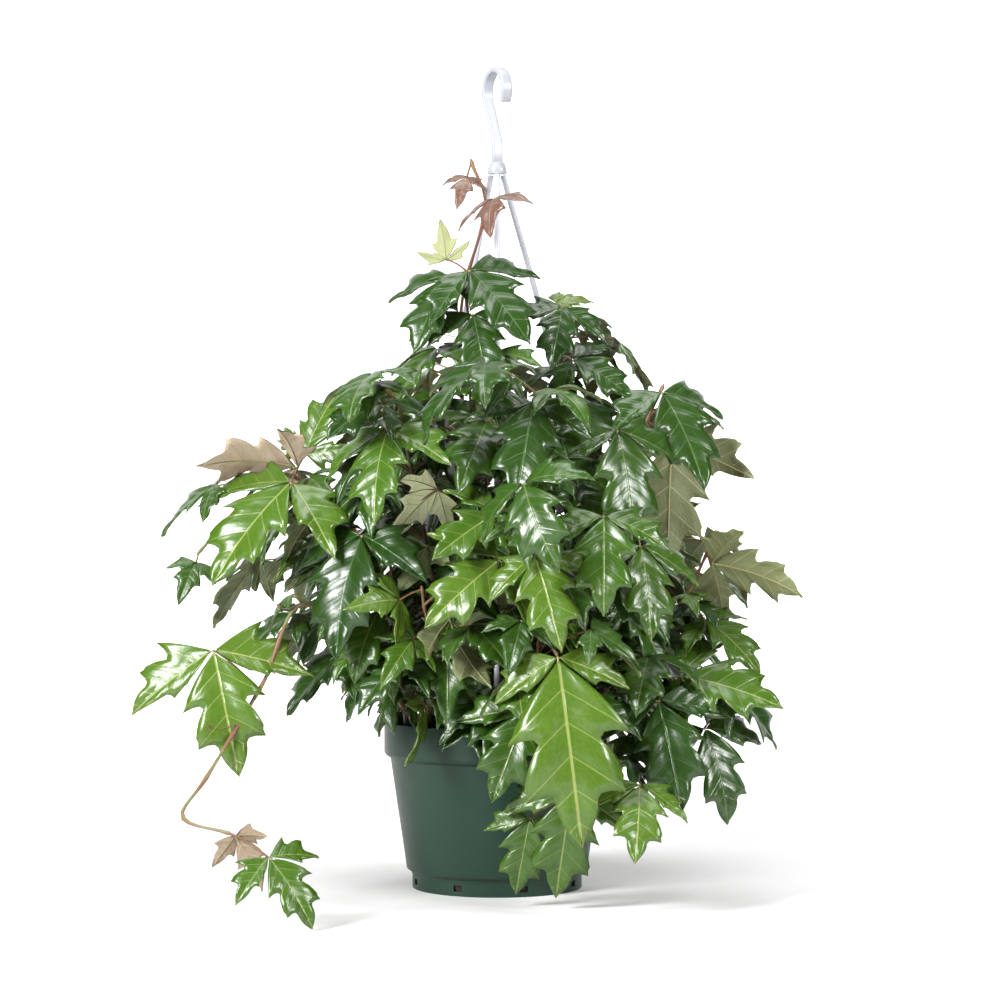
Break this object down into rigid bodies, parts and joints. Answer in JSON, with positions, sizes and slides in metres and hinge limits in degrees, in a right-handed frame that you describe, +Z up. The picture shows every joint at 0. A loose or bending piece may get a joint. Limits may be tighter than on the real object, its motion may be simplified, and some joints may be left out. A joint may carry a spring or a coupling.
{
  "type": "potted trailing ivy with hanger",
  "caption": "Oak-leaved trailing ivy growing in a round plastic pot, with a strand hanger clipped to the rim and joined at a hook.",
  "frame": {"origin": "centre of the pot's underside, on the surface that it stands on", "axes": "+Z up the pot's axis towards the hook, -Y towards the front"},
  "size_m": [0.4331, 0.3935, 0.552],
  "materials": {
    "pot_plastic": "satin dark green",
    "potting_soil": "rough and crumbly",
    "hanger_plastic": "smooth white",
    "foliage": "glossy green above, dull olive below"
  },
  "bodies": {
    "root": {"pot": "pot_plastic", "soil": "potting_soil", "hanger_hook": "hanger_plastic", "hanger_strand_right": "hanger_plastic", "hanger_strand_left": "hanger_plastic", "hanger_strand_front": "hanger_plastic", "vine_crown": "foliage", "vine_summit": "foliage", "vine_ridge_right": "foliage", "vine_front_high": "foliage", "vine_left_high": "foliage", "vine_left_arm": "foliage", "vine_left_mid": "foliage", "vine_left_trail": "foliage", "vine_front_low": "foliage", "vine_centre": "foliage", "vine_front_right": "foliage", "vine_drape": "foliage", "vine_front_mid": "foliage", "vine_right_high": "foliage", "vine_right_out": "foliage", "vine_right_low": "foliage", "vine_back_high": "foliage", "vine_back_right": "foliage", "vine_back_left": "foliage", "vine_back_low": "foliage"}
  },
  "joints": []
}
